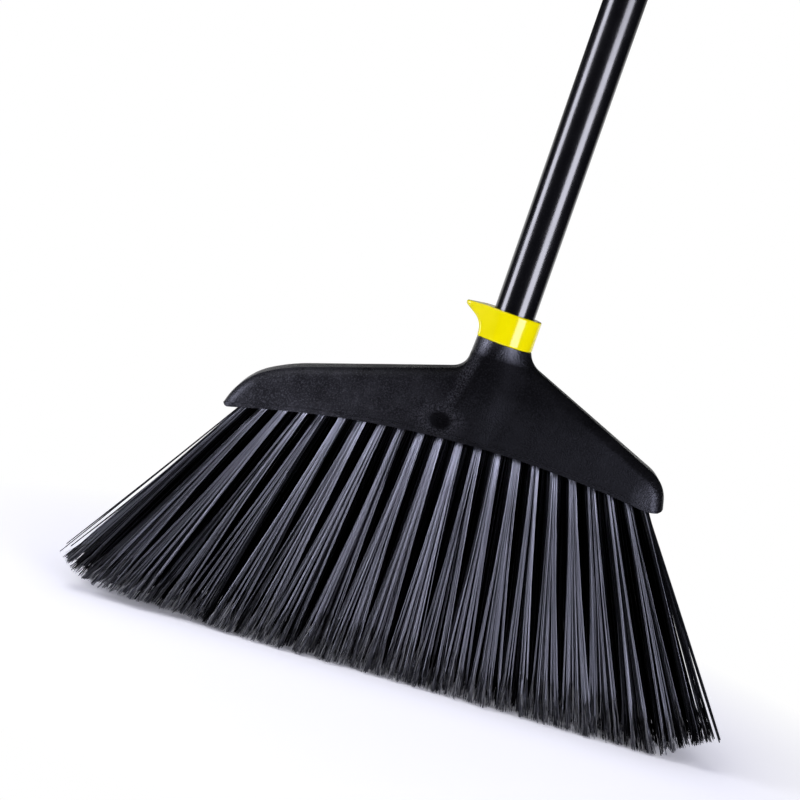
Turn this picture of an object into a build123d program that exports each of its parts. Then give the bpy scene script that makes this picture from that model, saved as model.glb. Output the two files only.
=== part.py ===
from build123d import *
from math import asin, copysign, cos, degrees, radians, sin, sqrt, tan
import os

# Angle broom: a moulded head with a fan of trimmed bristles, a twist-lock collar and a coated tube handle.
# Frame: +X to the broom's right, +Y away from its front face, +Z up. The level bristle tips stand on Z = 0
# and the origin lies under the middle of the fan. Lengths are in millimetres, angles in degrees.
# Levels are measured along the handle from the top of the neck, positive upwards.

# Stance on the floor
neck_height = 211.5
neck_offset = 19.0
handle_lean = 3.2

# Handle
handle_diameter = 25.4
handle_length = 1219.0
coat_thickness = 0.8
coat_clearance = 0.02
tube_wall = 0.8
plug_clearance = 0.05
plug_depth = 16.0
plug_flange = 2.0
plug_chamfer = 1.0
cap_height = 26.0
cap_step = 5.0
tab_thickness = 9.0
hang_hole_diameter = 10.0

# Socket and collet in the neck
running_clearance = 0.06
seat_gap = 0.2
socket_wall = 3.4
socket_floor = 2.6
collet_wall = 1.6
collet_height = 15.4
collet_slot = 1.8
collet_root = 3.0
pad_level = 9.5
pad_height = 3.0
pad_width = 14.0
pad_proud = 0.5

# Lock collar
collar_diameter = 35.0
collar_height = 19.3
collar_gap = 0.2
collar_round = 1.0
turn_clearance = 0.1
handle_clearance = 0.3
cam_rise = 0.8
cam_offset = 2.7
spur_reach = 30.0
spur_tip_radius = 4.5
spur_tip_height = 2.2
spur_top_drop = 1.2
spur_proud = 0.1
spur_knee = 8.4
spur_sweep = 12.0
spur_round = 2.0
max_top_slope = 25.0

# Outline of the head at its rim lip, seen from the front
neck_diameter = 34.2
web_inset = 0.6
left_reach = 151.0
right_reach = 125.9
left_shoulder_level = -13.95
right_shoulder_level = 2.4
left_shoulder_angle = 18.7
right_shoulder_angle = 22.2
left_bend_reach = 119.5
left_bend_angle = 30.0
left_bend_radius = 110.0
left_nose_angle = 76.0
right_nose_angle = 75.5
left_nose_radius = 42.0
right_nose_radius = 21.0
left_neck_radius = 12.0
right_neck_radius = 15.0
left_heel_radius = 3.0
right_heel_radius = 4.5
left_heel_sweep = 3.0
right_heel_sweep = 28.0
heel_bend = 24.0
arch_radius = 640.0
arch_offset = 38.0
arch_drop = 62.0

# Section of the head
rim_depth = 45.0
shoulder_round = 9.0
lip_height = 2.5
lip_proud = 0.8
shell_wall = 3.0
seat_ledge = 1.0
bulge_flat = 0.3
bulge_proud = 0.4
bulge_left = 30.0
bulge_right = 52.0
bulge_corner = 6.0
flare_drop = 18.0
flare_left = 0.8
flare_right = 9.0
flare_deep = 1.3
flare_corner = 12.0
left_blend = 10.0
right_blend = 60.0
dimple_offset = -22.3
dimple_drop = 55.0
dimple_radius = 7.2
dimple_depth = 1.8
nub_radius = 1.6
nub_height = 0.8

# Bristle block
block_thickness = 6.0
block_clearance = 0.15
hole_diameter = 5.8
lug_length = 14.0
lug_height = 2.0
lug_proud = 1.0
lug_shares = (0.13, 0.49, 0.84)

# Bristles
front_row_tufts = 22
row_shifts = (0, 1 / 2, 1 / 4, 3 / 4)
left_tuft_margin = 14.6
right_tuft_margin = 12.4
row_pitch = 8.4
fan_bias = 2.3
fan_spread = 31.5
fan_linear_share = 0.8
row_splay = 8.0
left_end_rise = 10.0
right_end_rise = 18.0
end_share = 0.15
backing_thickness = 2.5
backing_width = 6.4
backing_end = 3.4
backing_gap = 0.1
backing_clearance = 1.8
strands_per_tuft = 5
strand_sides = 4
root_spread = 1.7
root_radius = 0.75
tip_spread_across = 5.4
tip_spread_deep = 4.4
tip_radius = 1.1

# Spare length drawn past a form's edge before it is cut to size
outline_margin = 16.0
neck_margin = 12.0

# Directions and planes
lean_axis = Vector(sin(radians(handle_lean)), 0, cos(radians(handle_lean)))
side_axis = Vector(cos(radians(handle_lean)), 0, -sin(radians(handle_lean)))
depth_axis = Vector(0, 1, 0)
neck_top = Vector(neck_offset, 0, neck_height * cos(radians(handle_lean)))
handle_axis = Axis(neck_top, lean_axis)
front = Plane(origin=neck_top, x_dir=side_axis, z_dir=-depth_axis)
side = Plane(origin=neck_top, x_dir=depth_axis, z_dir=side_axis)
neck = Plane(origin=neck_top, x_dir=side_axis, z_dir=lean_axis)

# Radii about the handle's axis
handle_radius = handle_diameter / 2
tube_radius = handle_radius - coat_thickness
tube_bore = tube_radius - tube_wall
plug_radius = tube_bore - plug_clearance
bore_radius = handle_radius + running_clearance
socket_radius = bore_radius + socket_wall
collet_radius = bore_radius + collet_wall
pad_radius = collet_radius + pad_proud
collar_radius = collar_diameter / 2
neck_radius = neck_diameter / 2

# Radii about the arch's centre, from the rim upwards
block_low = arch_radius + shell_wall
block_high = block_low + block_thickness
pocket_high = block_high + seat_gap
backing_low = block_high + backing_gap
backing_high = backing_low + backing_thickness
root_level = (backing_low + backing_high) / 2
form_high = arch_radius + arch_drop + outline_margin

# Levels along the handle
socket_depth = arch_drop - (backing_high - arch_radius) - backing_clearance - socket_floor
handle_foot = seat_gap - socket_depth
tube_foot = handle_foot + plug_flange
handle_top = handle_foot + handle_length
tube_top = handle_top - cap_height
cap_foot = tube_top - plug_depth
cap_dome = handle_top - handle_radius
collar_top = collar_gap + collar_height

# Section of the head where the shoulders run into the neck
rim_half_depth = rim_depth / 2
web_flat = neck_radius - web_inset - shoulder_round
ridge_flat = sqrt((neck_radius - shoulder_round) ** 2 - web_flat**2)
web_half_width = shoulder_round + web_flat + lip_proud
ridge_half_depth = shoulder_round + ridge_flat + lip_proud
arch_centre = Vector(arch_offset, -arch_drop - arch_radius)

# Insets from the rim lip
shell_inset = lip_proud
pocket_inset = shell_inset + shell_wall
hollow_inset = pocket_inset + seat_ledge
block_inset = pocket_inset + block_clearance


def on_arch(radius, angle):
    """Point of the front plane on an arc about the arch's centre, by its angle from the crown."""
    return arch_centre + Vector(sin(radians(angle)), cos(radians(angle))) * radius


def rim_point(across):
    """Point of the rim at a distance to the right of the handle's axis."""
    return Vector(across, arch_centre.Y + sqrt(arch_radius**2 - (across - arch_offset) ** 2))


def meet(first, first_slope, second, second_slope):
    """Where the lines through two points, each with its own slope, meet."""
    first_base = first.Y - first_slope * first.X
    second_base = second.Y - second_slope * second.X
    across = (first_base - second_base) / (second_slope - first_slope)
    return Vector(across, first.Y + first_slope * (across - first.X))


# Tufts along the rim, from the first to the last of the front row
first_tuft_angle = degrees(asin((left_tuft_margin - left_reach - arch_offset) / arch_radius))
last_tuft_angle = degrees(asin((right_reach - right_tuft_margin - arch_offset) / arch_radius))
tuft_pitch = (last_tuft_angle - first_tuft_angle) / (front_row_tufts - 1)

# Corners of the front outline
left_rim = rim_point(-left_reach)
right_rim = rim_point(right_reach)
left_slope = tan(radians(left_shoulder_angle))
right_slope = -tan(radians(right_shoulder_angle))
left_bend = Vector(-left_bend_reach, left_shoulder_level - left_slope * left_bend_reach)
left_nose = meet(left_rim, tan(radians(left_nose_angle)), left_bend, tan(radians(left_bend_angle)))
right_level = Vector(0, right_shoulder_level)
right_nose = meet(right_rim, -tan(radians(right_nose_angle)), right_level, right_slope)
left_neck = Vector(-web_half_width, left_shoulder_level - left_slope * web_half_width)
right_neck = Vector(web_half_width, right_shoulder_level + right_slope * web_half_width)

# Curve of the flanks, upright at the lowest point of the rim
lowest_rim = min(left_rim.Y, right_rim.Y)
flank_taper = rim_half_depth - ridge_half_depth
flank_radius = (lowest_rim**2 + flank_taper**2) / (2 * flank_taper)


def half_depth(level):
    """Half the depth of the head's outline, front to back, at a level."""
    return rim_half_depth - flank_radius + sqrt(flank_radius**2 - (level - lowest_rim) ** 2)


def is_corner(edge):
    """Whether a flank's edge runs along a shoulder or a nose, and not along the base or the neck's top."""
    place = front.to_local_coords(edge @ 0.5)
    reach = (Vector(place.X, place.Y) - arch_centre).length
    return reach > arch_radius - outline_margin / 2 and place.Y < neck_margin / 2


def moulded(inset, low_radius, high_radius):
    """The head's rounded form, inset from its outline, between two arcs about the arch's centre."""
    left_base = left_rim - (left_nose - left_rim).normalized() * outline_margin
    right_base = right_rim - (right_nose - right_rim).normalized() * outline_margin
    crown_base = Vector(arch_offset, -arch_drop - outline_margin)
    left_top = Vector(-web_half_width, neck_margin)
    right_top = Vector(web_half_width, neck_margin)
    left_radii = [left_nose_radius, left_bend_radius, left_neck_radius]
    right_radii = [right_neck_radius, right_nose_radius]
    flank_low = Vector(rim_half_depth - inset, lowest_rim)
    flank_high = Vector(half_depth(neck_margin) - inset, neck_margin)
    flank_base = Vector(flank_low.X, lowest_rim - 2 * outline_margin)
    with BuildPart() as form:
        with BuildSketch(front):
            with BuildLine():
                FilletPolyline(left_base, left_nose, left_bend, left_neck, left_top, radius=left_radii)
                Line(left_top, right_top)
                FilletPolyline(right_top, right_neck, right_nose, right_base, radius=right_radii)
                ThreePointArc(right_base, crown_base, left_base)
            make_face()
            if inset:
                offset(amount=-inset)
        extrude(amount=rim_depth, both=True)
        with BuildSketch(side):
            with BuildLine():
                TangentArc(flank_low, flank_high, tangent=(0, 1))
                Line(flank_high, (0, neck_margin))
                Polyline((0, flank_base.Y), flank_base, flank_low)
                mirror(about=Plane.YZ)
            make_face()
        extrude(amount=left_reach + right_reach, both=True, mode=Mode.INTERSECT)
        flanks = faces().filter_by(lambda face: face.bounding_box().size.X > right_reach).sort_by(Axis.Y)
        corners = (flanks[0].edges() + flanks[-1].edges()).filter_by(is_corner)
        fillet(corners, shoulder_round - max(inset - shell_inset, 0))
        with BuildSketch(front):
            with Locations(arch_centre):
                Circle(high_radius)
                Circle(low_radius, mode=Mode.SUBTRACT)
        extrude(amount=rim_depth, both=True, mode=Mode.INTERSECT)
        split(bisect_by=neck, keep=Keep.BOTTOM)
    return form.part


def lug_bars(slack):
    """Bars across the block pocket whose ends are the snap lugs, or the recesses for them with some slack."""
    with BuildPart() as bars:
        for share in lug_shares:
            angle = first_tuft_angle + share * (last_tuft_angle - first_tuft_angle)
            place = on_arch((block_low + block_high) / 2, angle)
            with BuildSketch(front):
                with Locations(Location((place.X, place.Y), -angle)):
                    Rectangle(lug_length + 2 * slack, lug_height + 2 * slack)
            extrude(amount=half_depth(place.Y) - block_inset + lug_proud + slack, both=True)
    return bars.part


def bulge_section(level, left, right, deep, corner):
    """Section of the neck's bulge: a full curve to the right and a rounded corner to the left."""
    with BuildSketch(neck.offset(level)) as section:
        with BuildLine():
            EllipticalCenterArc((0, 0), right, deep, arc_size=90)
            Line((0, deep), (corner - left, deep))
            CenterArc((corner - left, deep - corner), corner, 90, 90)
            Line((-left, deep - corner), (-left, 0))
            mirror(about=Plane.XZ)
        make_face()
    return section.sketch


def is_crease(edge):
    """Whether an edge of the bulge runs down a flank, from the neck to the rim."""
    ends = (front.to_local_coords(edge @ 0), front.to_local_coords(edge @ 1))
    foot, head = sorted(ends, key=lambda end: end.Y)
    return head.Y - foot.Y > collar_height / 4 and abs(head.Z + foot.Z) > ridge_half_depth


def crease_side(edge):
    """Which side of the handle's axis an edge runs on."""
    return copysign(1, front.to_local_coords(edge @ 0.5).X)


def outer_form():
    """The head's form with the neck's bulge, which is blended into both flanks."""
    base_level = -arch_drop - outline_margin
    base_deep = half_depth(base_level) - shell_inset + bulge_proud
    with BuildPart() as form:
        add(moulded(shell_inset, arch_radius - outline_margin / 2, form_high))
        with BuildPart(mode=Mode.PRIVATE) as bulge:
            add(bulge_section(0, neck_radius, neck_radius, neck_radius, neck_radius - bulge_flat))
            add(
                bulge_section(
                    -flare_drop,
                    neck_radius + flare_left,
                    neck_radius + flare_right,
                    neck_radius + flare_deep,
                    flare_corner,
                )
            )
            add(bulge_section(base_level, bulge_left, bulge_right, base_deep, bulge_corner))
            loft()
        add(bulge.part)
        left_creases, right_creases = edges(Select.NEW).filter_by(is_crease).group_by(crease_side)
        fillet(left_creases, left_blend)
        fillet(right_creases, right_blend)
        with BuildSketch(front):
            with Locations(arch_centre):
                Circle(form_high)
                Circle(arch_radius, mode=Mode.SUBTRACT)
        extrude(amount=rim_depth, both=True, mode=Mode.INTERSECT)
    return form.part


def heel_points(corner, nose, inward, sweep_radius, radius):
    """Points along the curve that rounds an end of the rim, a point outside it, and its first direction."""
    up = (nose - corner).normalized()
    spoke = (corner - arch_centre).normalized()
    outward = Vector(spoke.Y, -spoke.X) * -inward
    bend = radians(heel_bend)
    turn = radians(outward.get_angle(up))
    inside = (up - outward * cos(turn)) * (1 / sin(turn))
    sweep_along = sweep_radius * sin(bend)
    sweep_up = sweep_radius * (1 - cos(bend))
    along = sweep_along + radius * (sin(turn) - sin(bend))
    height = sweep_up + radius * (cos(bend) - cos(turn))
    run = along - height / tan(turn)
    low = rim_point(corner.X - outward.X * run)
    middle = corner + outward * (sweep_along - run) + inside * sweep_up
    return low, middle, corner + up * (height / sin(turn)), corner + (outward - up) * outline_margin, outward


# Shallow moulding dimple on the front face, low to the left of the neck
dish_radius = (dimple_radius**2 + dimple_depth**2) / (2 * dimple_depth)
dish_floor = half_depth(-dimple_drop) - shell_inset - dimple_depth
dish_wall = shell_wall - dimple_depth
dimple_place = front.from_local_coords(Vector(dimple_offset, -dimple_drop, dish_floor + dish_radius))

with BuildPart() as head_shell:
    add(outer_form())
    add(moulded(0, arch_radius, arch_radius + lip_height))
    for corner, nose, inward, sweep_radius, radius in (
        (left_rim, left_nose, 1, left_heel_sweep, left_heel_radius),
        (right_rim, right_nose, -1, right_heel_sweep, right_heel_radius),
    ):
        low, middle, high, outside, outward = heel_points(corner, nose, inward, sweep_radius, radius)
        with BuildSketch(front):
            with BuildLine():
                sweep = TangentArc(low, middle, tangent=outward)
                TangentArc(middle, high, tangent=sweep % 1)
                Polyline(high, outside, low)
            make_face()
        extrude(amount=rim_depth, both=True, mode=Mode.SUBTRACT)
    add(moulded(pocket_inset, arch_radius - lip_height, pocket_high), mode=Mode.SUBTRACT)
    add(moulded(hollow_inset, block_low, form_high), mode=Mode.SUBTRACT)
    add(lug_bars(block_clearance), mode=Mode.SUBTRACT)
    with Locations(dimple_place):
        Sphere(dish_radius, mode=Mode.SUBTRACT)
    with BuildSketch(front.offset(dish_floor - dish_wall / 2)):
        with Locations((dimple_offset, -dimple_drop)):
            Circle(nub_radius)
    extrude(amount=dish_wall / 2 + nub_height)
    with BuildSketch(neck):
        Circle(socket_radius)
    extrude(amount=-socket_depth - socket_floor)
    with BuildSketch(neck):
        Circle(collet_radius)
    extrude(amount=collet_height)
    with BuildSketch(neck.offset(pad_level)):
        Circle(pad_radius)
        Rectangle(pad_width, 2 * collar_diameter, mode=Mode.INTERSECT)
    extrude(amount=pad_height)
    with BuildSketch(neck.offset(-socket_depth)):
        Circle(bore_radius)
    extrude(amount=socket_depth + collet_height, mode=Mode.SUBTRACT)
    with BuildSketch(neck.offset(collet_root)):
        Rectangle(collet_slot, collar_diameter, rotation=45)
        Rectangle(collet_slot, collar_diameter, rotation=-45)
    extrude(amount=collet_height, mode=Mode.SUBTRACT)


def tuft_line(angle, deep):
    """Root of a tuft, its step for a unit seen from the front, its share of the row, and its lift."""
    middle = (first_tuft_angle + last_tuft_angle) / 2
    share = (angle - middle) / (last_tuft_angle - middle)
    fan = radians(fan_bias + fan_spread * (fan_linear_share * share + (1 - fan_linear_share) * share**3))
    splay = radians(row_splay * deep / outer_row_depth)
    lift = (root_level - arch_radius) / cos(fan + radians(angle))
    rim = on_arch(arch_radius, angle)
    root = front.from_local_coords(Vector(rim.X - lift * sin(fan), rim.Y + lift * cos(fan), -deep))
    step = side_axis * sin(fan) - lean_axis * cos(fan) + depth_axis * tan(splay)
    return root, step, share, lift


# Rows from front to back, each set along by its own share of the pitch so that the gaps are covered
outer_row_depth = row_pitch * (len(row_shifts) - 1) / 2
rows = {}
for place, shift in enumerate(row_shifts):
    tufts = front_row_tufts if shift == 0 else front_row_tufts - 1
    angles = [first_tuft_angle + tuft_pitch * (tuft + shift) for tuft in range(tufts)]
    rows[f"bristle_row_{place + 1}"] = (place * row_pitch - outer_row_depth, angles)

# Holes through the block, one along each tuft
hole_places = []
for deep, angles in rows.values():
    for angle in angles:
        root, step, share, lift = tuft_line(angle, deep)
        to_block = lift * (root_level - (block_low + block_high) / 2) / (root_level - arch_radius)
        hole_places.append(Plane(origin=root + step * to_block, z_dir=step).location)

with BuildPart() as bristle_block:
    add(moulded(block_inset, block_low, block_high))
    add(lug_bars(0))
    with Locations(*hole_places):
        Cylinder(hole_diameter / 2, 4 * block_thickness, mode=Mode.SUBTRACT)


def strand_ends(angle, deep, place):
    """Root and tip points of one strand of a tuft."""
    root, step, share, lift = tuft_line(angle, deep)
    past_flat = max(0, abs(share) - (1 - end_share)) / end_share
    end_rise = left_end_rise if share < 0 else right_end_rise
    tip = root + step * ((end_rise * past_flat**2 - root.Z) / step.Z)
    turn = radians(360 * place / strands_per_tuft + 90)
    at_root = Vector(cos(turn), sin(turn)) * root_spread
    at_tip = Vector(tip_spread_across * cos(turn), tip_spread_deep * sin(turn))
    return root + at_root, tip + at_tip


def backing_angle(angle, deep, margin):
    """Angle about the arch's centre of a tuft's root, moved along the backing by a margin."""
    root = front.to_local_coords(tuft_line(angle, deep)[0])
    return degrees(asin((root.X - arch_offset) / root_level) + margin / root_level)


def bristle_row(deep, angles):
    """One row of tufts, spreading from a strip of melted backing to tips trimmed level with the floor."""
    start = backing_angle(angles[0], deep, -backing_end)
    end = backing_angle(angles[-1], deep, backing_end)
    strands = []
    with BuildPart() as row:
        for angle in angles:
            for place in range(strands_per_tuft):
                root, tip = strand_ends(angle, deep, place)
                with BuildSketch(Plane(root)):
                    RegularPolygon(root_radius, strand_sides)
                with BuildSketch(Plane(tip)):
                    RegularPolygon(tip_radius, strand_sides)
                strands.append(loft(ruled=True, mode=Mode.PRIVATE))
        # The strands stand clear of one another, and the backing joins them all
        add(strands, mode=Mode.REPLACE)
        with BuildSketch(front.offset(-deep)):
            with BuildLine():
                low = CenterArc(arch_centre, backing_low, 90 - end, end - start)
                high = CenterArc(arch_centre, backing_high, 90 - end, end - start)
                Line(low @ 0, high @ 0)
                Line(low @ 1, high @ 1)
            make_face()
        extrude(amount=backing_width / 2, both=True)
    return row.part


# Lock collar: its spur leaves the ring along tangents to its rounded end, and sweeps up to it from below
spur_centre = spur_reach - spur_tip_radius
spur_edge = collar_top - spur_top_drop
spur_tip = Vector(-spur_reach, spur_edge - spur_tip_height)
spur_heel = Vector(-collar_radius - spur_proud, collar_gap)
spur_bend = spur_heel + Vector(0, spur_knee)
spur_outside = -2 * spur_reach


def is_spur_edge(edge):
    """Whether an edge of the spur bounds its underside in front, behind or at the tip."""
    place = front.to_local_coords(edge @ 0.5)
    at_side = abs(place.Z) > spur_tip_radius / 4 or place.X < -spur_centre - spur_tip_radius / 2
    return at_side and place.X < -collar_radius and collar_gap < place.Y < spur_edge - spur_tip_height / 2


def faces_up(face):
    """Whether a face of the collar is its top or the gentle slope on the spur."""
    return face.normal_at().dot(lean_axis) > cos(radians(max_top_slope))


with BuildPart() as lock_collar:
    with BuildSketch(neck.offset(collar_gap)):
        Circle(collar_radius)
        with Locations((-spur_centre, 0)):
            Circle(spur_tip_radius)
        make_hull()
    extrude(amount=collar_height)
    with BuildSketch(front):
        with BuildLine():
            FilletPolyline(spur_heel, spur_bend, spur_tip, radius=spur_sweep)
            Polyline(spur_tip, (spur_outside, spur_tip.Y), (spur_outside, collar_gap), spur_heel)
        make_face()
        with BuildLine():
            ring_edge = (-collar_radius, collar_top)
            Polyline(ring_edge, (spur_outside, collar_top), (-spur_reach, spur_edge), close=True)
        make_face()
    extrude(amount=collar_diameter, both=True, mode=Mode.SUBTRACT)
    fillet(edges().filter_by(is_spur_edge), spur_round)
    fillet(edges().group_by(handle_axis)[0], collar_round)
    fillet(faces().filter_by(faces_up).edges(), collar_round)
    with BuildSketch(neck):
        Circle(collet_radius + turn_clearance)
    extrude(amount=collet_height + handle_clearance, mode=Mode.SUBTRACT)
    with BuildSketch(neck):
        Circle(handle_radius + handle_clearance)
    extrude(amount=2 * collar_height, mode=Mode.SUBTRACT)
    with BuildSketch(neck.offset(pad_level - collar_gap)):
        Circle(pad_radius + turn_clearance)
        with Locations((cam_offset, 0), (-cam_offset, 0)):
            Circle(pad_radius + turn_clearance + cam_rise - cam_offset)
    extrude(amount=pad_height + 2 * collar_gap, mode=Mode.SUBTRACT)

# Handle: a steel tube in a coat, closed by a plug below and a cap with a hanging hole above
with BuildPart() as handle_tube:
    with BuildSketch(neck.offset(tube_foot)):
        Circle(tube_radius)
        Circle(tube_bore, mode=Mode.SUBTRACT)
    extrude(amount=tube_top - tube_foot)

with BuildPart() as handle_coat:
    with BuildSketch(neck.offset(tube_foot)):
        Circle(handle_radius)
        Circle(tube_radius + coat_clearance, mode=Mode.SUBTRACT)
    extrude(amount=tube_top - tube_foot)

with BuildPart() as end_plug:
    with BuildSketch(neck.offset(handle_foot)):
        Circle(handle_radius)
    extrude(amount=plug_flange)
    chamfer(edges().sort_by(handle_axis)[0], plug_chamfer)
    with BuildSketch(neck.offset(tube_foot)):
        Circle(plug_radius)
    extrude(amount=plug_depth)

with BuildPart() as hanger_cap:
    with BuildSketch(front):
        with BuildLine():
            Polyline((0, cap_foot), (plug_radius, cap_foot), (plug_radius, tube_top))
            Polyline((plug_radius, tube_top), (handle_radius, tube_top), (handle_radius, cap_dome))
            RadiusArc((handle_radius, cap_dome), (0, handle_top), -handle_radius)
            Line((0, handle_top), (0, cap_foot))
        make_face()
    revolve(axis=handle_axis)
    with BuildSketch(side):
        with Locations((0, tube_top + cap_step + cap_height / 2)):
            Rectangle(handle_diameter, cap_height)
            Rectangle(tab_thickness, cap_height, mode=Mode.SUBTRACT)
    extrude(amount=handle_diameter, both=True, mode=Mode.SUBTRACT)
    with BuildSketch(front):
        with Locations((0, cap_dome)):
            Circle(hang_hole_diameter / 2)
    extrude(amount=handle_diameter, both=True, mode=Mode.SUBTRACT)

pieces = {
    "head_shell": head_shell.part,
    "bristle_block": bristle_block.part,
    "lock_collar": lock_collar.part,
    "handle_tube": handle_tube.part,
    "handle_coat": handle_coat.part,
    "end_plug": end_plug.part,
    "hanger_cap": hanger_cap.part,
}
for row_name, (deep, angles) in rows.items():
    pieces[row_name] = bristle_row(deep, angles)

os.makedirs("parts", exist_ok=True)
for name, piece in pieces.items():
    piece.label = name
    export_step(piece, f"parts/{name}.step")
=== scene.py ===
import math
from typing import NamedTuple

import bpy
import numpy as np
from mathutils import Matrix, Vector


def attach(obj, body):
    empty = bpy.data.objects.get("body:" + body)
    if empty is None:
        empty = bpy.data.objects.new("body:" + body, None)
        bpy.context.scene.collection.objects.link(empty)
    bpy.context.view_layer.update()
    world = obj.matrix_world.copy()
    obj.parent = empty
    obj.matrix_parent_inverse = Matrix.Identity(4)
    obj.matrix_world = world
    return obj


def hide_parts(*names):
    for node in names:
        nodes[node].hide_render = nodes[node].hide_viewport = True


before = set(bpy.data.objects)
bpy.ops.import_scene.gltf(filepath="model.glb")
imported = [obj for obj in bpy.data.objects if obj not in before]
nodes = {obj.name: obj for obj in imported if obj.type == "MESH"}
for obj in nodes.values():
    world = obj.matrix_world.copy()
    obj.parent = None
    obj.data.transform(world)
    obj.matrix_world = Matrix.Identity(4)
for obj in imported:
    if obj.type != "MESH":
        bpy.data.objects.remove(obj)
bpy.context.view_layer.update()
scene = bpy.context.scene
SEED = 11
rng = np.random.default_rng(SEED)
MM = 0.001

# Frame of the handle, in millimetres: u to the right, y to the back, v up the handle from the top of the neck
LEAN = math.radians(3.2)
NECK_OFFSET, NECK_HEIGHT = 19.0, 211.5
NECK_TOP = np.array((NECK_OFFSET, 0.0, NECK_HEIGHT * math.cos(LEAN)))
SIDE = np.array((math.cos(LEAN), 0.0, -math.sin(LEAN)))
DEEP = np.array((0.0, 1.0, 0.0))
UP = np.array((math.sin(LEAN), 0.0, math.cos(LEAN)))
ACROSS = np.array((1.0, 0.0, 0.0))


def place(u, y, v):
    """Point of the handle's frame in world metres."""
    return (NECK_TOP + u * SIDE + y * DEEP + v * UP) * MM


# Shader nodes


class Nodes:
    """Short way to add and link the nodes of one tree."""

    def __init__(self, tree):
        self.tree = tree
        tree.nodes.clear()

    def add(self, kind, **values):
        node = self.tree.nodes.new(kind)
        for key, value in values.items():
            setattr(node, key, value)
        return node

    def link(self, source, target):
        self.tree.links.new(source, target)

    def coordinates(self, kind):
        return self.add("ShaderNodeTexCoord").outputs[kind]

    def parts(self, vector):
        """X, Y and Z of a vector."""
        node = self.add("ShaderNodeSeparateXYZ")
        self.link(vector, node.inputs["Vector"])
        return node.outputs

    def attribute(self, name):
        return self.add("ShaderNodeAttribute", attribute_name=name).outputs["Fac"]

    def ramp(self, source, *stops):
        """Colour by a value, from stops of a position and a colour."""
        node = self.add("ShaderNodeValToRGB")
        first, last = node.color_ramp.elements
        first.position, first.color = stops[0]
        last.position, last.color = stops[-1]
        for position, colour in stops[1:-1]:
            node.color_ramp.elements.new(position).color = colour
        self.link(source, node.inputs["Fac"])
        return node.outputs["Color"]

    def span(self, source, before, after):
        """Value that goes from one end of a range to the other as the source crosses its own."""
        node = self.add("ShaderNodeMapRange")
        for name, value in zip(("From Min", "From Max", "To Min", "To Max"), (*before, *after)):
            node.inputs[name].default_value = value
        self.link(source, node.inputs["Value"])
        return node.outputs["Result"]

    def math(self, operation, first, second):
        node = self.add("ShaderNodeMath", operation=operation)
        for socket, value in zip(node.inputs, (first, second)):
            if isinstance(value, float):
                socket.default_value = value
            else:
                self.link(value, socket)
        return node.outputs["Value"]

    def mix(self, blend, factor, first, second):
        node = self.add("ShaderNodeMix", data_type="RGBA", blend_type=blend)
        if isinstance(factor, float):
            node.inputs["Factor"].default_value = factor
        else:
            self.link(factor, node.inputs["Factor"])
        self.link(first, node.inputs["A"])
        self.link(second, node.inputs["B"])
        return node.outputs["Result"]

    def noise(self, coordinates, scale, detail, rough):
        node = self.add("ShaderNodeTexNoise")
        node.inputs["Scale"].default_value = scale
        node.inputs["Detail"].default_value = detail
        node.inputs["Roughness"].default_value = rough
        self.link(coordinates, node.inputs["Vector"])
        return node.outputs["Fac"]

    def stretched(self, coordinates, scale, turn=(0.0, 0.0, 0.0)):
        node = self.add("ShaderNodeMapping")
        node.inputs["Scale"].default_value = scale
        node.inputs["Rotation"].default_value = turn
        self.link(coordinates, node.inputs["Vector"])
        return node.outputs["Vector"]

    def bump(self, height, strength, distance):
        node = self.add("ShaderNodeBump")
        node.inputs["Strength"].default_value = strength
        node.inputs["Distance"].default_value = distance
        self.link(height, node.inputs["Height"])
        return node.outputs["Normal"]

    def vector(self, operation, first, second):
        node = self.add("ShaderNodeVectorMath", operation=operation)
        for socket, value in zip(node.inputs, (first, second)):
            if isinstance(value, Vector):
                socket.default_value = value
            else:
                self.link(value, socket)
        return node.outputs["Vector" if operation == "SUBTRACT" else "Value"]

    def gap(self, coordinates, start, end):
        """Distance from the segment between two points."""
        along = end - start
        offset = self.vector("SUBTRACT", coordinates, start)
        reach = self.vector("DOT_PRODUCT", offset, along)
        foot = self.add("ShaderNodeVectorMath", operation="SCALE")
        foot.inputs["Vector"].default_value = along
        self.link(self.span(reach, (0.0, along.length_squared), (0.0, 1.0)), foot.inputs["Scale"])
        return self.vector("DISTANCE", offset, foot.outputs["Vector"])

    def emission(self, colour):
        node = self.add("ShaderNodeEmission")
        node.inputs["Color"].default_value = colour
        return node

    def mix_shader(self, factor, first, second):
        node = self.add("ShaderNodeMixShader")
        self.link(factor, node.inputs["Fac"])
        self.link(first, node.inputs[1])
        self.link(second, node.inputs[2])
        return node.outputs["Shader"]

    def seen_rays(self):
        """Camera rays, and the glossy and transmission rays together, which all show the background."""
        rays = self.add("ShaderNodeLightPath")
        mirrored = self.math("ADD", rays.outputs["Is Glossy Ray"], rays.outputs["Is Transmission Ray"])
        return rays.outputs["Is Camera Ray"], mirrored


def grey(value):
    return (value, value, value, 1.0)


def tinted(value, tint):
    """Colour of a tone, with a tint for each channel."""
    return (*(value * part for part in tint), 1.0)


def new_material(name):
    """Material with a principled shader, and the builder of its nodes."""
    material = bpy.data.materials.new(name)
    material.use_nodes = True
    build = Nodes(material.node_tree)
    shader = build.add("ShaderNodeBsdfPrincipled")
    output = build.add("ShaderNodeOutputMaterial")
    build.link(shader.outputs["BSDF"], output.inputs["Surface"])
    return material, build, shader


# Range that most values of a noise lie in, and the tint of the sheen on black pieces
NOISE_MIDDLE = (0.3, 0.7)
BLUISH = (0.84, 0.86, 1.0, 1.0)

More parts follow.
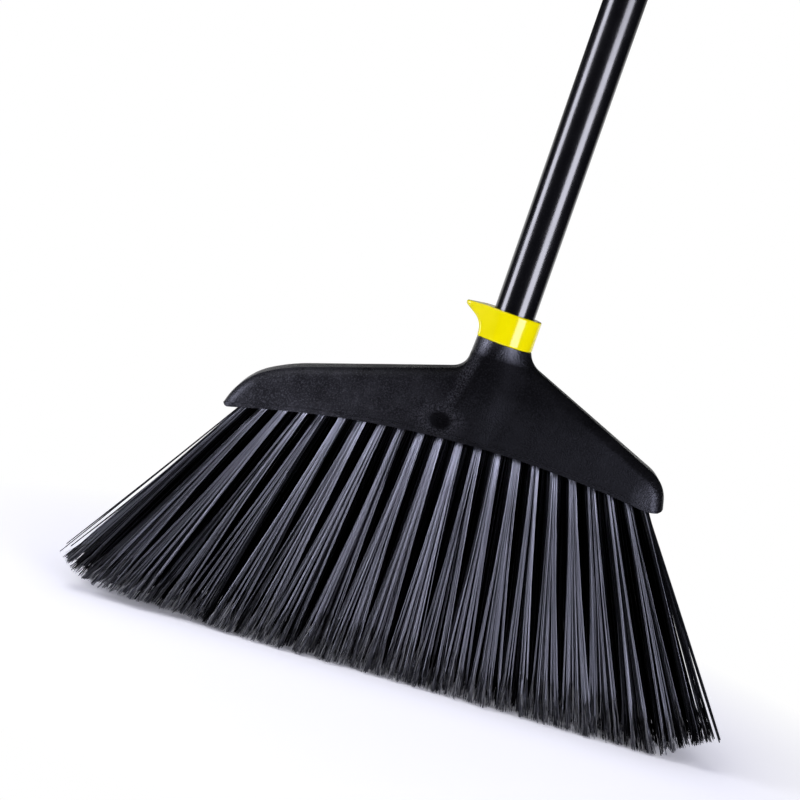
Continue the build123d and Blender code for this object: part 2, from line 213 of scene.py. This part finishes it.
# Moulded black plastic: the scales of its noises are in cycles a metre
MOULD_NOISE_ROUGH = 0.6
PEBBLE_SCALE, PEBBLE_DETAIL = 1100.0, 2.0
PEBBLE_RANGE, PEBBLE_SHADE = (0.5, 0.75), (0.0, 0.8)
PEBBLE_DEPTH = 0.0005
CLOUD_SCALE, CLOUD_DETAIL = 55.0, 4.0
CLOUD_SHADE = (0.15, 0.42)
STREAK_SCALE, STREAK_DETAIL = 240.0, 3.0
STREAK_STRETCH, STREAK_TURN = (1.0, 1.0, 0.22), (0.0, 0.5, 0.0)
STREAK_CLOUDS, STREAK_RANGE = (0.5, 0.68), (0.52, 0.7)
STREAK_SHADE = 0.5
PEBBLE_ROUGH, CLOUD_ROUGH = 0.07, 0.05
DARKEST, PALEST = (0.7, 0.7, 0.8), (21.0, 21.0, 24.0)

# Painted light: each moulding is painted palest at its left end, where it catches more light, by shares of
# its width
LEFT_LIGHT_RANGE, LEFT_PAINTED_LIGHT = (0.12, 0.52), (1.0, 0.125)

# Moulding gate on the head's front face: a matt disc painted darker as shade in its recess, a pale halo, and
# a painted highlight along a line from the gate up to the neck's left side
to_shell = nodes["head_shell"].matrix_world.inverted()
GATE = to_shell @ Vector(place(-22.3, -16.0, -55.0))
GATE_STRETCH = (0.66, 1.0, 1.0)
GATE_RANGE, GATE_PAINTED_SHADE = (0.0052, 0.0078), (0.1, 1.0)
HALO_RANGE, HALO_SHADE = (0.0078, 0.013), (0.45, 0.0)
# Painted highlight: a pale line from the gate up to the neck's left side, where the bulge's left flank
# catches the left lamp
HIGHLIGHT_LINE_END = to_shell @ Vector(place(-11.2, -10.7, -8.0))
HIGHLIGHT_LINE_RANGE = (0.001, 0.0065)
HIGHLIGHT_LINE_PEBBLES, HIGHLIGHT_LINE_SHADE = (0.4, 0.7), (0.0, 0.9)

# Specular level of the head by shares of its height, and by the distance from its two noses
NECK_DULL, NECK_START, NECK_END = 0.25, 0.4, 0.56
POLISH, POLISH_START, POLISH_END = 0.7, 0.73, 0.82
NOSES = [to_shell @ Vector(place(u, -14.0, v)) for u, v in ((-143.0, -78.0), (114.0, -60.0))]
NOSE_RANGE, NOSE_POLISH = (0.008, 0.019), (0.28, 0.0)


def gate_marks(build, where, pebble):
    """Share of the tone that the gate's matt disc leaves, darkened as painted shade in its recess, and the
    pale halo and the painted highlight line round it.
    """
    centre = Vector(along * scale for along, scale in zip(GATE, GATE_STRETCH))
    apart = build.vector("DISTANCE", build.stretched(where, GATE_STRETCH), centre)
    halo = build.span(apart, HALO_RANGE, HALO_SHADE)
    # Painted highlight along the line up the bulge's left flank
    painted_highlight = build.span(build.gap(where, GATE, HIGHLIGHT_LINE_END), HIGHLIGHT_LINE_RANGE, (1.0, 0.0))
    speckle = build.span(pebble, HIGHLIGHT_LINE_PEBBLES, HIGHLIGHT_LINE_SHADE)
    halo_and_painted_highlight = build.math("MULTIPLY", build.math("MAXIMUM", halo, painted_highlight), speckle)
    return build.span(apart, GATE_RANGE, GATE_PAINTED_SHADE), halo_and_painted_highlight


def polish_level(build, where, height, level):
    """Specular level of the head: duller up the neck, and polished at the neck's top and at both noses."""
    dull = grey(level * NECK_DULL)
    lower = ((NECK_START, grey(level)), (NECK_END, dull))
    upper = ((POLISH_START, dull), (POLISH_END, grey(POLISH)))
    polish = build.ramp(height, *lower, *upper)
    for nose in NOSES:
        apart = build.vector("DISTANCE", where, nose)
        polish = build.math("MAXIMUM", polish, build.span(apart, NOSE_RANGE, NOSE_POLISH))
    return polish


def moulded_black(name, tone, grain, rough, level, gated=False):
    """Black moulding with a pebbled grain, a cloudy sheen and faint streaks, and painted light palest at its
    left end.
    """
    material, build, shader = new_material(name)
    where = build.coordinates("Object")
    pebble = build.noise(where, PEBBLE_SCALE, PEBBLE_DETAIL, MOULD_NOISE_ROUGH)
    cloud = build.noise(where, CLOUD_SCALE, CLOUD_DETAIL, MOULD_NOISE_ROUGH)
    lines = build.stretched(where, STREAK_STRETCH, STREAK_TURN)
    streak = build.noise(lines, STREAK_SCALE, STREAK_DETAIL, MOULD_NOISE_ROUGH)
    streak = build.span(streak, STREAK_RANGE, (0.0, 1.0))
    streak = build.math("MULTIPLY", build.span(cloud, STREAK_CLOUDS, (0.0, 1.0)), streak)
    streak = build.math("MULTIPLY", streak, STREAK_SHADE)
    shade = build.math("ADD", build.span(cloud, NOISE_MIDDLE, CLOUD_SHADE), streak)
    shade = build.math("ADD", shade, build.span(pebble, PEBBLE_RANGE, PEBBLE_SHADE))
    shares = build.parts(build.coordinates("Generated"))
    # Painted light: the tone is made paler towards the left end
    shade = build.math("MULTIPLY", shade, build.span(shares["X"], LEFT_LIGHT_RANGE, LEFT_PAINTED_LIGHT))
    shader.inputs["Specular IOR Level"].default_value = level
    if gated:
        matt, halo_and_painted_highlight = gate_marks(build, where, pebble)
        # The gate's disc is painted darker as shade in its recess, and the halo and the painted highlight
        # line are painted paler
        shade = build.math("MULTIPLY", build.math("ADD", shade, halo_and_painted_highlight), matt)
        polish = polish_level(build, where, shares["Z"], level)
        build.link(build.math("MULTIPLY", matt, polish), shader.inputs["Specular IOR Level"])
    colour = build.ramp(shade, (0.0, tinted(tone, DARKEST)), (1.0, tinted(tone, PALEST)))
    build.link(colour, shader.inputs["Base Color"])
    speck = build.span(pebble, NOISE_MIDDLE, (-PEBBLE_ROUGH, PEBBLE_ROUGH))
    dull = build.span(cloud, NOISE_MIDDLE, (rough - CLOUD_ROUGH, rough + CLOUD_ROUGH))
    build.link(build.math("ADD", speck, dull), shader.inputs["Roughness"])
    build.link(build.bump(pebble, grain, PEBBLE_DEPTH), shader.inputs["Normal"])
    shader.inputs["Specular Tint"].default_value = BLUISH
    return material


# Glossy plastic
GLOSS_NOISE_ROUGH = 0.5
PEEL_SCALE, PEEL_DETAIL, PEEL_DEPTH = 420.0, 2.0, 0.0002
HAZE_SCALE, HAZE_DETAIL = 45.0, 3.0
HAZE_LOW, HAZE_HIGH, HAZE_SHADE = 0.35, 0.65, 0.93
HAZE_SMOOTHER, HAZE_ROUGHER = 0.03, 0.04


def gloss(name, colour, rough, ripple, index):
    """Glossy plastic with a faint orange peel and a slightly uneven tone."""
    material, build, shader = new_material(name)
    where = build.coordinates("Object")
    peel = build.noise(where, PEEL_SCALE, PEEL_DETAIL, GLOSS_NOISE_ROUGH)
    haze = build.noise(where, HAZE_SCALE, HAZE_DETAIL, GLOSS_NOISE_ROUGH)
    tone = build.ramp(haze, (HAZE_LOW, tinted(HAZE_SHADE, colour)), (HAZE_HIGH, tinted(1.0, colour)))
    build.link(tone, shader.inputs["Base Color"])
    dull = build.span(haze, NOISE_MIDDLE, (rough - HAZE_SMOOTHER, rough + HAZE_ROUGHER))
    build.link(dull, shader.inputs["Roughness"])
    build.link(build.bump(peel, ripple, PEEL_DEPTH), shader.inputs["Normal"])
    shader.inputs["IOR"].default_value = index
    return material


# Steel of the tube
DRAWN_SCALE, DRAWN_DETAIL, DRAWN_NOISE_ROUGH = 2600.0, 3.0, 0.6
DRAWN_STRETCH = (1.0, 1.0, 0.02)
STEEL_DARK, STEEL_LIGHT = 0.42, 0.58
STEEL_ROUGH = (0.25, 0.4)


def bare_steel(name):
    """Drawn steel with fine lines along the tube."""
    material, build, shader = new_material(name)
    lines = build.stretched(build.coordinates("Object"), DRAWN_STRETCH)
    drawn = build.noise(lines, DRAWN_SCALE, DRAWN_DETAIL, DRAWN_NOISE_ROUGH)
    low, high = NOISE_MIDDLE
    tone = build.ramp(drawn, (low, grey(STEEL_DARK)), (high, grey(STEEL_LIGHT)))
    build.link(tone, shader.inputs["Base Color"])
    build.link(build.span(drawn, NOISE_MIDDLE, STEEL_ROUGH), shader.inputs["Roughness"])
    shader.inputs["Metallic"].default_value = 1.0
    return material


# Bristle filaments, whose meshes say where they are split and their sheen, painted light that scales their
# tone and specular level
DARK_TINT, LIGHT_TINT = (1.0, 1.0, 1.15), (1.0, 1.02, 1.18)
DARKER_STOP, DARKER_SHARE = 0.5, 2.0
PALER_STOP, PALER_SHARE = 0.75, 0.4
SHAFT_TO_TIP_ROUGH = (0.3, 0.5)
SHAFT_TO_TIP_LEVEL = (0.5, 0.24)


def filament(name, dark, light, tip_dark, tip_light, index):
    """Smooth filaments of many tones with dull, paler split ends, and painted light from the mesh's sheen."""
    material, build, shader = new_material(name)
    split = build.attribute("split")
    sheen = build.attribute("sheen")
    island = build.add("ShaderNodeNewGeometry").outputs["Random Per Island"]
    shaft = build.ramp(island, (0.0, tinted(dark, DARK_TINT)), (1.0, tinted(light, LIGHT_TINT)))
    darker = (DARKER_STOP, grey(tip_dark * DARKER_SHARE))
    paler = (PALER_STOP, grey(tip_light * PALER_SHARE))
    tip = build.ramp(island, (0.0, grey(tip_dark)), darker, paler, (1.0, grey(tip_light)))
    # Painted light: the sheen brightens or darkens the tone and the specular level
    tone = build.mix("MULTIPLY", 1.0, build.mix("MIX", split, shaft, tip), sheen)
    build.link(tone, shader.inputs["Base Color"])
    build.link(build.span(split, (0.0, 1.0), SHAFT_TO_TIP_ROUGH), shader.inputs["Roughness"])
    level = build.math("MULTIPLY", sheen, build.span(split, (0.0, 1.0), SHAFT_TO_TIP_LEVEL))
    build.link(level, shader.inputs["Specular IOR Level"])
    shader.inputs["Specular Tint"].default_value = BLUISH
    shader.inputs["IOR"].default_value = index
    return material


cap_black = moulded_black("cap_plastic", tone=0.002, grain=0.15, rough=0.4, level=0.4)
finishes = {
    "head_shell": moulded_black("head_plastic", tone=0.003, grain=0.55, rough=0.3, level=0.08, gated=True),
    "bristle_block": moulded_black("block_plastic", tone=0.002, grain=0.2, rough=0.5, level=0.3),
    "lock_collar": gloss("collar_yellow", colour=(0.93, 0.81, 0.0006), rough=0.12, ripple=0.04, index=1.45),
    "handle_coat": gloss("coat_black", colour=(0.003, 0.003, 0.004), rough=0.2, ripple=0.008, index=1.7),
    "handle_tube": bare_steel("tube_steel"),
    "end_plug": cap_black,
    "hanger_cap": cap_black,
}
for name, material in finishes.items():
    for entry in nodes[name].material_slots:
        entry.material = material

outer_bristle = filament("outer_bristle", dark=0.005, light=0.016, tip_dark=0.002, tip_light=0.2, index=2.2)
# Painted shade: the inner rows' filaments are the same black as the outer ones, painted darker and duller as
# shade deep inside the bristles
shaded_inner_bristle = filament("shaded_inner_bristle", dark=0.001, light=0.003, tip_dark=0.004, tip_light=0.04, index=1.15)

# Layout of the tufts in the head, in millimetres and degrees, as in the solids
ARCH_RADIUS, ARCH_OFFSET, ARCH_DROP = 640.0, 38.0, 62.0
ROOT_RADIUS = 650.35
LEFT_REACH, RIGHT_REACH = 151.0, 125.9
LEFT_MARGIN, RIGHT_MARGIN = 14.6, 12.4
TUFTS = 22
ROW_PITCH = 8.4
ROW_SHIFTS = (0.0, 0.5, 0.25, 0.75)
ROW_SPLAY = 8.0
FAN_BIAS, FAN_SPREAD, FAN_LINEAR = 2.3, 31.5, 0.8
OUTER_DEPTH = ROW_PITCH * (len(ROW_SHIFTS) - 1) / 2
FIRST = math.asin((LEFT_MARGIN - LEFT_REACH - ARCH_OFFSET) / ARCH_RADIUS)
LAST = math.asin((RIGHT_REACH - RIGHT_MARGIN - ARCH_OFFSET) / ARCH_RADIUS)
PITCH = (LAST - FIRST) / (TUFTS - 1)

# Trim line: past each of these places across the fan it rises with the slope given
TRIM_RISES = ((-88.0, -0.058), (-193.0, -0.5), (176.5, 0.5))


def tuft_line(angle, deep, extra_fan=0.0):
    """Root of a tuft, its step for a unit of length seen from the front, and its share along the row."""
    middle = (FIRST + LAST) / 2
    share = (angle - middle) / (LAST - middle)
    bend = FAN_LINEAR * share + (1 - FAN_LINEAR) * share**3
    fan = math.radians(FAN_BIAS + FAN_SPREAD * bend + extra_fan)
    splay = math.radians(ROW_SPLAY * deep / OUTER_DEPTH)
    lift = (ROOT_RADIUS - ARCH_RADIUS) / math.cos(fan + angle)
    u = ARCH_OFFSET + ARCH_RADIUS * math.sin(angle) - lift * math.sin(fan)
    v = ARCH_RADIUS * math.cos(angle) - ARCH_DROP - ARCH_RADIUS + lift * math.cos(fan)
    root = NECK_TOP + u * SIDE + deep * DEEP + v * UP
    step = SIDE * math.sin(fan) - UP * math.cos(fan) + DEEP * math.tan(splay)
    return root, step, share


def trim_rise(x):
    """How far the trim line lifts off the floor at a place across the fan."""
    return sum(max(0.0, (x - start) * slope) for start, slope in TRIM_RISES)


class Fibres:
    """Gathers closed tubes of three or four sides into one mesh."""

    def __init__(self):
        self.points = []
        self.split = []
        self.sheen = []
        self.faces = {3: [], 4: []}
        self.count = 0

    def tube(self, path, radii, sides, sheen, split=0.0):
        """Closed tube along a path, with a radius for each ring and a sheen for each ring or for all."""
        path = np.asarray(path)
        rings = len(path)
        ahead = np.gradient(path, axis=0)
        ahead /= np.linalg.norm(ahead, axis=1)[:, None]
        across = np.cross(ahead, DEEP)
        across /= np.linalg.norm(across, axis=1)[:, None]
        away = np.cross(ahead, across)
        angles = rng.uniform(0, 2 * math.pi) + np.arange(sides) * 2 * math.pi / sides
        cosines, sines = np.cos(angles)[None, :, None], np.sin(angles)[None, :, None]
        ring = across[:, None, :] * cosines + away[:, None, :] * sines
        points = path[:, None, :] + ring * np.asarray(radii)[:, None, None]
        self.points.append(points.reshape(-1, 3))
        self.split.append(np.full(rings * sides, split))
        self.sheen.append(np.repeat(np.broadcast_to(sheen, rings), sides))
        base = self.count + np.arange(rings - 1)[:, None] * sides
        here = base + np.arange(sides)[None, :]
        after = base + (np.arange(sides)[None, :] + 1) % sides
        walls = np.stack((here, after, after + sides, here + sides), axis=-1)
        self.faces[4].append(walls.reshape(-1, 4))
        first = self.count + np.arange(sides)
        last = first + (rings - 1) * sides
        self.faces[sides].append(np.stack((first[::-1], last)))
        self.count += rings * sides

    def mesh(self, name):
        """Mesh of all the tubes, with the split and the sheen as attributes of its points."""
        points = np.concatenate(self.points) * MM
        quads, tris = np.concatenate(self.faces[4]), np.concatenate(self.faces[3])
        mesh = bpy.data.meshes.new(name)
        mesh.vertices.add(len(points))
        mesh.vertices.foreach_set("co", points.astype(np.float32).ravel())
        loops = np.concatenate((quads.ravel(), tris.ravel()))
        mesh.loops.add(len(loops))
        mesh.loops.foreach_set("vertex_index", loops.astype(np.int32))
        totals = np.concatenate((np.full(len(quads), 4), np.full(len(tris), 3)))
        starts = np.concatenate(((0,), np.cumsum(totals)[:-1]))
        mesh.polygons.add(len(totals))
        mesh.polygons.foreach_set("loop_start", starts.astype(np.int32))
        mesh.polygons.foreach_set("use_smooth", np.ones(len(totals), bool))
        mesh.update(calc_edges=True)
        for title, values in (("split", self.split), ("sheen", self.sheen)):
            attribute = mesh.attributes.new(title, "FLOAT", "POINT")
            attribute.data.foreach_set("value", np.concatenate(values).astype(np.float32))
        mesh.validate()
        return mesh


class TuftKind(NamedTuple):
    """Make-up of a row's tufts: counts, sizes across and in depth, and how late the clumps part."""

    filaments: int
    clumps: int
    radius: tuple
    sides: int
    root_spread: tuple
    tip_spread: tuple
    flare: float


OUTER = TuftKind(
    filaments=76,
    clumps=9,
    radius=(0.25, 0.31),
    sides=4,
    root_spread=(1.7, 1.5),
    tip_spread=(10.2, 7.0),
    flare=1.6,
)
INNER = TuftKind(
    filaments=80,
    clumps=80,
    radius=(0.38, 0.46),
    sides=3,
    root_spread=(2.3, 1.5),
    tip_spread=(10.6, 9.5),
    flare=1.0,
)

# Clumps and filaments of a tuft: how they differ, and how they change towards the ends of the row
SECTION_TAPER = 0.85
TUFT_LEAN = (0.7, 2.2)
CLUMP_BOW, FILAMENT_BOW = (0.6, 0.7), 0.15
CLUMP_WEIGHTS = (0.3, 1.7)
CLUMP_ROOT, CLUMP_TIP, CLUMP_END_TIP = 0.7, 0.55, 1.5
LOOSE_SHARE, LOOSE_ENDS = 0.1, 0.5
LOOSE_POWER = 6
END_NARROWING, END_SHARE = 0.45, 0.08
RAGGED = 0.3
SHORT_CHANCE, SHORT_BY = 0.02, (1.5, 4.0)

# Painted light: which clumps are painted lit and which shaded, and how much
LIT_MIDDLE, LIT_ENDS, LIT_SIDE, LIT_POWER = 0.93, 0.56, 0.4, 1.5
LIT_SHEEN, DIM_SHEEN = (0.8, 1.3), (0.0, 0.15)
DARK_END, DARK_CHANCE = 0.93, 0.3

# One filament: rings of its shaft by shares of its length, and its split end
SHAFT_STOPS = (0.0, 0.1, 0.25, 0.5)
# Painted light: the sheen of each shaft's rings, brightest at the root, where the head's rim shades it
ROOT_SHEEN = np.array((4.4, 1.9, 1.1, 1.0, 1.0, 1.0))
SPLIT_LENGTH = (6.0, 28.0)
SPLIT_NECK, SPLIT_TAPER = 0.97, 0.8
BRANCHES, BRANCH_SIDES = 2, 3
BRANCH_RADII = (0.24, 0.22, 0.15)
BRANCH_START, BRANCH_SHORTER = 0.985, 0.006
BRANCH_DRIFT = 0.6
FLOOR_CLEARANCE = 0.15


class Spread(NamedTuple):
    """How far a filament stands off its tuft's line, across and in depth, from its root to its tip."""

    low: np.ndarray
    high: np.ndarray
    bow: np.ndarray
    flare: float

    def at(self, t):
        return self.low + (self.high - self.low) * t**self.flare + self.bow * 4 * t * t * (1 - t)


def between(middle, end, share):
    """Value between those of the row's middle and its ends."""
    return middle + (end - middle) * share


def bundle(count):
    """Seeded points over a tuft's section: even across it, and thinner in depth towards its sides."""
    across = (np.arange(count) + rng.uniform(0, 1, count)) / count * 2 - 1
    deep = rng.uniform(-1, 1, count) * np.sqrt(1 - SECTION_TAPER * across**2)
    return np.stack((across, deep), axis=1)


def clump_sheens(clumps, share):
    """Painted sheen of each clump: most are painted lit in the middle of the row, more on the side towards
    the nearer end, and few in its last tufts on the right.
    """
    chances = between(LIT_MIDDLE, LIT_ENDS, abs(share) ** LIT_POWER) + LIT_SIDE * share * clumps[:, 0]
    if share > DARK_END:
        chances *= DARK_CHANCE
    lit = rng.uniform(0, 1, len(clumps)) < chances
    return np.where(lit, rng.uniform(*LIT_SHEEN, len(clumps)), rng.uniform(*DIM_SHEEN, len(clumps)))


def grow_tuft(fibres, angle, deep, kind):
    """Bundle of clumps that part from each other towards the tips."""
    root, step, share = tuft_line(angle, deep)
    narrowing = END_NARROWING * max(0.0, abs(share) - (1 - END_SHARE)) / END_SHARE
    clumps = bundle(kind.clumps)
    bows = rng.normal(0, 1, clumps.shape) * CLUMP_BOW
    lean = rng.normal(0, 1, 2) * TUFT_LEAN
    near_end = abs(share) ** LOOSE_POWER
    loose_tip = between(CLUMP_TIP, CLUMP_END_TIP, near_end)
    loose_share = between(LOOSE_SHARE, LOOSE_ENDS, near_end)
    sheens = clump_sheens(clumps, share)
    weights = rng.uniform(*CLUMP_WEIGHTS, kind.clumps)
    for clump in np.sort(rng.choice(kind.clumps, kind.filaments, p=weights / weights.sum())):
        spot = clumps[clump]
        if rng.uniform() < loose_share:
            spot = rng.uniform(-1, 1, 2)
        turn = rng.uniform(0, 2 * math.pi)
        within = np.array((math.cos(turn), math.sin(turn))) * math.sqrt(rng.uniform())
        low = within * CLUMP_ROOT + spot * kind.root_spread
        high = within * loose_tip + spot * kind.tip_spread + lean
        if high[0] * share > 0:
            high[0] *= 1 - narrowing
        bow = bows[clump] + rng.normal(0, FILAMENT_BOW, 2)
        end = abs(rng.normal(0, RAGGED))
        if rng.uniform() < SHORT_CHANCE:
            end += rng.uniform(*SHORT_BY)
        spread = Spread(low, high, bow, kind.flare)
        grow_filament(fibres, root, step, end, spread, rng.uniform(*kind.radius), kind.sides, sheens[clump])


def grow_filament(fibres, root, step, end, spread, radius, sides, sheen):
    """One shaft from its root to the trim line, split into finer branches near its tip."""
    floor_tip = root + step * (-root[2] / step[2])
    end += trim_rise(floor_tip[0] + spread.high[0])
    tip = root + step * ((end - root[2]) / step[2])

    def at(t):
        across, deep = spread.at(t)
        return root + (tip - root) * t + ACROSS * across + DEEP * deep

    split = 1.0 - rng.uniform(*SPLIT_LENGTH) / np.linalg.norm(tip - root)
    stops = (*SHAFT_STOPS, split * SPLIT_NECK, split)
    radii = (radius,) * (len(stops) - 1) + (radius * SPLIT_TAPER,)
    fibres.tube([at(t) for t in stops], radii, sides, sheen * ROOT_SHEEN)
    for _ in range(BRANCHES):
        drift = rng.normal(0, BRANCH_DRIFT, (2, 2)).cumsum(axis=0)
        branch_end = 1.0 + rng.uniform(-BRANCH_SHORTER, 0.0)
        line = np.array([at(t) for t in np.linspace(split * BRANCH_START, branch_end, len(BRANCH_RADII))])
        line[1:] += drift[:, :1] * ACROSS + drift[:, 1:] * DEEP
        line[:, 2] = np.maximum(line[:, 2], FLOOR_CLEARANCE)
        fibres.tube(line, BRANCH_RADII, BRANCH_SIDES, sheen, split=1.0)


class Strays(NamedTuple):
    """Filaments that stand away from one end of the fan: degrees past it, heights of the tips, and sizes."""

    angle: float
    fans: tuple
    tips: tuple
    radius: float
    offset: float


LEFT_STRAYS = Strays(
    angle=FIRST,
    fans=(-2.2, -3.0, -3.4),
    tips=(23.0, 20.5, 24.0),
    radius=0.45,
    offset=-2.4,
)
RIGHT_STRAYS = Strays(
    angle=LAST,
    fans=(0.2, 0.5, 1.7, 2.0, 2.9, 3.2),
    tips=(17.0, 19.0, 18.0, 20.0, 19.0, 21.0),
    radius=0.6,
    offset=0.8,
)
STRAY_DEPTH = 2.0
STRAY_BOW, STRAY_BOW_DEEP = 1.2, 1.0
STRAY_RINGS, STRAY_SIDES, STRAY_TAPER = 6, 4, 0.7
# Painted shade: the strays are painted dark, with little sheen
STRAY_SHEEN = 0.1


def grow_strays(fibres, deep, strays):
    """Single unsplit filaments at one end of the fan."""
    radii = (strays.radius,) * (STRAY_RINGS - 1) + (strays.radius * STRAY_TAPER,)
    for fan, end in zip(strays.fans, strays.tips):
        root, step, _ = tuft_line(strays.angle, deep + rng.uniform(-STRAY_DEPTH, STRAY_DEPTH), fan)
        drop = step * (end - root[2]) / step[2]
        start = root + ACROSS * strays.offset
        bow = ACROSS * rng.normal(0, STRAY_BOW) + DEEP * rng.normal(0, STRAY_BOW_DEEP)
        line = [start + drop * t + bow * 4 * t * (1 - t) for t in np.linspace(0, 1, STRAY_RINGS)]
        fibres.tube(line, radii, STRAY_SIDES, STRAY_SHEEN)


for number, shift in enumerate(ROW_SHIFTS):
    deep = number * ROW_PITCH - OUTER_DEPTH
    tufts = TUFTS if shift == 0.0 else TUFTS - 1
    outer = number in (0, len(ROW_SHIFTS) - 1)
    fibres = Fibres()
    for tuft in range(tufts):
        grow_tuft(fibres, FIRST + PITCH * (tuft + shift), deep, OUTER if outer else INNER)
    if number == 0:
        grow_strays(fibres, deep, LEFT_STRAYS)
        grow_strays(fibres, deep, RIGHT_STRAYS)
    name = f"filaments_{number + 1}"
    piece = bpy.data.objects.new(name, fibres.mesh(name))
    scene.collection.objects.link(piece)
    piece.data.materials.append(outer_bristle if outer else shaded_inner_bristle)
    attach(piece, "head")
    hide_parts(f"bristle_row_{number + 1}")

# Floor: matt and pale to the light, and white in the picture apart from the broom's shadow
FLOOR_HALF, FLOOR_DROP = 0.5, 0.0005
FLOOR_TONE = 0.9
FLOOR_GLOW, GLOW_COLOUR = 0.53, (0.86, 0.86, 1.0, 1.0)
CONTACT_REACH = 0.06
FADE_RANGE = (0.22, 0.36)
WHITE = grey(1.0)


def floor_white():
    """Matt floor with a glow that leaves the contact shadow, fading to plain white away from the broom."""
    material = bpy.data.materials.new("floor")
    material.use_nodes = True
    build = Nodes(material.node_tree)
    matt = build.add("ShaderNodeBsdfDiffuse")
    matt.inputs["Color"].default_value = grey(FLOOR_TONE)
    contact = build.add("ShaderNodeAmbientOcclusion")
    contact.inputs["Distance"].default_value = CONTACT_REACH
    glow = build.emission(GLOW_COLOUR)
    build.link(build.math("MULTIPLY", contact.outputs["AO"], FLOOR_GLOW), glow.inputs["Strength"])
    lit = build.add("ShaderNodeAddShader")
    build.link(matt.outputs["BSDF"], lit.inputs[0])
    build.link(glow.outputs["Emission"], lit.inputs[1])
    reach = build.add("ShaderNodeVectorMath", operation="LENGTH")
    build.link(build.coordinates("Object"), reach.inputs["Vector"])
    fade = build.span(reach.outputs["Value"], FADE_RANGE, (0.0, 1.0))
    shown = build.mix_shader(fade, lit.outputs["Shader"], build.emission(WHITE).outputs["Emission"])
    surface = build.mix_shader(build.math("ADD", *build.seen_rays()), matt.outputs["BSDF"], shown)
    output = build.add("ShaderNodeOutputMaterial")
    build.link(surface, output.inputs["Surface"])
    return material


corners = [(x * FLOOR_HALF, y * FLOOR_HALF, 0.0) for x, y in ((-1, -1), (1, -1), (1, 1), (-1, 1))]
floor_mesh = bpy.data.meshes.new("floor")
floor_mesh.from_pydata(corners, [], [(0, 1, 2, 3)])
floor_mesh.materials.append(floor_white())
floor = bpy.data.objects.new("floor", floor_mesh)
floor.location.z = -FLOOR_DROP
scene.collection.objects.link(floor)

# Dim room in front of the broom and a low white backdrop behind it, by the direction from the broom
ROOM_GLOW, BACKDROP_GLOW = 0.012, 0.5
BACKDROP_RANGE = (0.6, 0.8)
BACKDROP_TOP = (0.04, 0.08)


def studio():
    """World that is white to the camera and lights the broom from a dim room and a low backdrop."""
    world = bpy.data.worlds.new("studio")
    world.use_nodes = True
    build = Nodes(world.node_tree)
    towards = build.parts(build.coordinates("Generated"))
    low = build.span(towards["Z"], BACKDROP_TOP, (1.0, 0.0))
    behind = build.math("MULTIPLY", build.span(towards["Y"], BACKDROP_RANGE, (0.0, 1.0)), low)
    room = build.add("ShaderNodeBackground")
    build.link(build.span(behind, (0.0, 1.0), (ROOM_GLOW, BACKDROP_GLOW)), room.inputs["Strength"])
    backdrop = build.add("ShaderNodeBackground")
    backdrop.inputs["Color"].default_value = WHITE
    camera_ray, mirrored = build.seen_rays()
    shows = build.math("ADD", camera_ray, build.math("MULTIPLY", mirrored, behind))
    surface = build.mix_shader(shows, room.outputs["Background"], backdrop.outputs["Background"])
    output = build.add("ShaderNodeOutputWorld")
    build.link(surface, output.inputs["Surface"])
    return world


scene.world = studio()

# Soft boxes, in metres
COOL, NEUTRAL = (0.86, 0.86, 1.0), (1.0, 1.0, 1.0)
BOX_DISTANCE = 1.3
RIGHT_LEVEL = 0.18


def softbox(name, spot, target, size, radiance, colour):
    """Rectangular area lamp with a given brightness of its face."""
    lamp = bpy.data.lights.new(name, "AREA")
    lamp.shape = "RECTANGLE"
    lamp.size, lamp.size_y = size
    lamp.energy = radiance * size[0] * size[1] * math.pi
    lamp.color = colour
    box = bpy.data.objects.new(name, lamp)
    scene.collection.objects.link(box)
    box.location = spot
    box.rotation_euler = (Vector(target) - Vector(spot)).to_track_quat("-Z", "Y").to_euler()
    box.visible_camera = False


def around(azimuth, height):
    """Place of a box round the broom: azimuth 0 is in front, positive to the right."""
    turn = math.radians(azimuth)
    return (BOX_DISTANCE * math.sin(turn), -BOX_DISTANCE * math.cos(turn), height)


softbox(
    "right_box",
    spot=around(azimuth=37, height=RIGHT_LEVEL),
    target=(0.0, 0.0, RIGHT_LEVEL),
    size=(0.72, 0.76),
    radiance=10.5,
    colour=COOL,
)
softbox(
    "left_box",
    spot=around(azimuth=-76, height=0.42),
    target=(0.0, 0.0, 0.3),
    size=(0.56, 0.8),
    radiance=10.2,
    colour=COOL,
)
softbox(
    "top_box",
    spot=(-0.8, -0.2, 2.0),
    target=(0.0, 0.0, 0.0),
    size=(1.2, 0.8),
    radiance=4.0,
    colour=NEUTRAL,
)

# Camera at the photograph's angle, aimed at a point of the handle's frame, in millimetres
TILT = math.radians(7.0)
ROLL = math.radians(19.116)
DISTANCE = 1230.0
FRAME_WIDTH = 489.3
SENSOR_WIDTH = 36.0
TARGET = (-48.7, 0.0, -53.5)
forward = DEEP * math.cos(TILT) - UP * math.sin(TILT)
lift = DEEP * math.sin(TILT) + UP * math.cos(TILT)
image_right = SIDE * math.cos(ROLL) + lift * math.sin(ROLL)
image_up = lift * math.cos(ROLL) - SIDE * math.sin(ROLL)
lens = bpy.data.cameras.new("camera")
lens.sensor_width = SENSOR_WIDTH
lens.lens = SENSOR_WIDTH * DISTANCE / FRAME_WIDTH
camera = bpy.data.objects.new("camera", lens)
scene.collection.objects.link(camera)
basis = Matrix((image_right, image_up, -forward)).transposed().to_4x4()
camera.matrix_world = Matrix.Translation(place(*TARGET) - forward * DISTANCE * MM) @ basis
scene.camera = camera

scene.view_settings.view_transform = "Standard"
